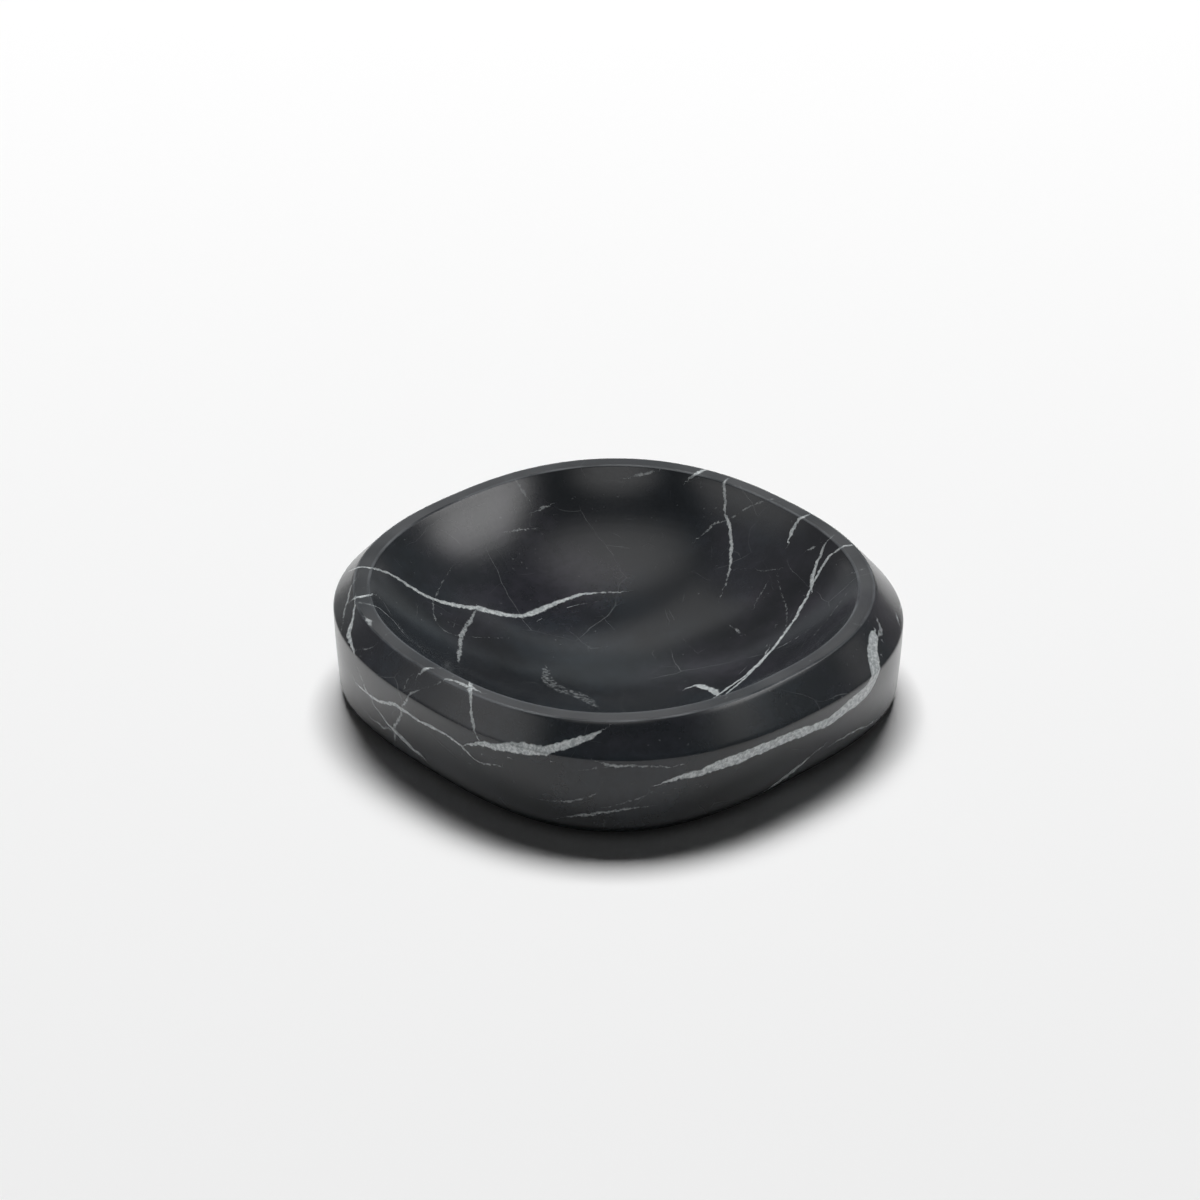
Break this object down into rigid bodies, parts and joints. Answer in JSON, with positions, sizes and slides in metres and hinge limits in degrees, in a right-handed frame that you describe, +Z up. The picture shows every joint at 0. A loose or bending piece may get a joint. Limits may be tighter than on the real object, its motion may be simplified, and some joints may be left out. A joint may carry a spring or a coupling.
{
  "type": "marble bowl",
  "caption": "Low rounded-square bowl carved from dark veined marble, with a flat rim, a wide chamfer, a smooth dished hollow and soft pads under its base.",
  "frame": {"origin": "under the middle of the base, on the surface that the bowl stands on", "axes": "+Z up through the middle of the bowl, +X and +Y square to its flats, so that its soft corners lie on the diagonals"},
  "size_m": [0.1418, 0.1418, 0.0317],
  "materials": {
    "marble": "satin-polished near-black marble with grey clouding and white veins",
    "pad": "matt soft rubber"
  },
  "bodies": {
    "root": {"bowl_body": "marble", "base_pad_1": "pad", "base_pad_2": "pad", "base_pad_3": "pad", "base_pad_4": "pad"}
  },
  "joints": []
}
